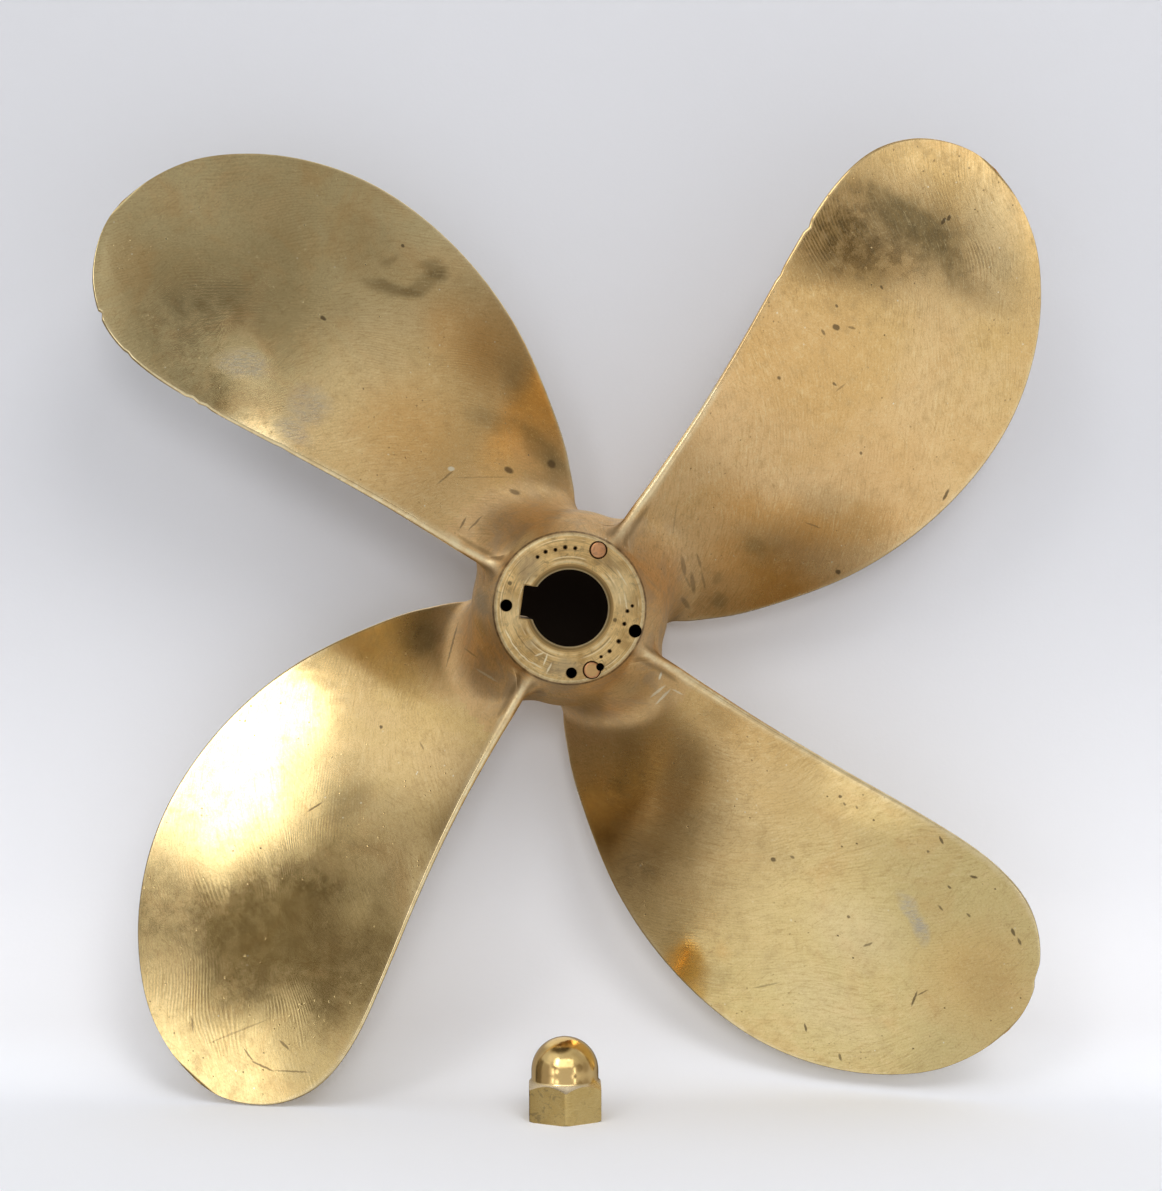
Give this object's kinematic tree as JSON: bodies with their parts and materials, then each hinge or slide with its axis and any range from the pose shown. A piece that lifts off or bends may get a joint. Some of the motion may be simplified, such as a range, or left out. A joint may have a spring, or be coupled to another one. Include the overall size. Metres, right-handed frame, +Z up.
{
  "type": "four-bladed boat propeller with cap nut",
  "caption": "Right-handed fixed-pitch bronze boat propeller with a tapered, keyed bore, and its loose domed cap nut standing below the hub.",
  "frame": {"origin": "on the shaft axis, in the plane of the hub's forward face", "axes": "+Y along the shaft, forward; -Y is aft, the side that faces the viewer in the picture; +Z up, as the blades stand in the picture"},
  "size_m": [0.4387, 0.12, 0.4427],
  "materials": {
    "cast_bronze": "hand-ground and polished cast bronze, pitted, brushed across the blades, with bright worn edges",
    "copper_plug": "dull pinkish copper, faced off level with the hub",
    "nut_brass": "polished dome over brushed flats with dark stains"
  },
  "bodies": {
    "root": {"propeller_casting": "cast_bronze", "upper_copper_plug": "copper_plug", "lower_copper_plug": "copper_plug", "cap_nut": "nut_brass"}
  },
  "joints": []
}
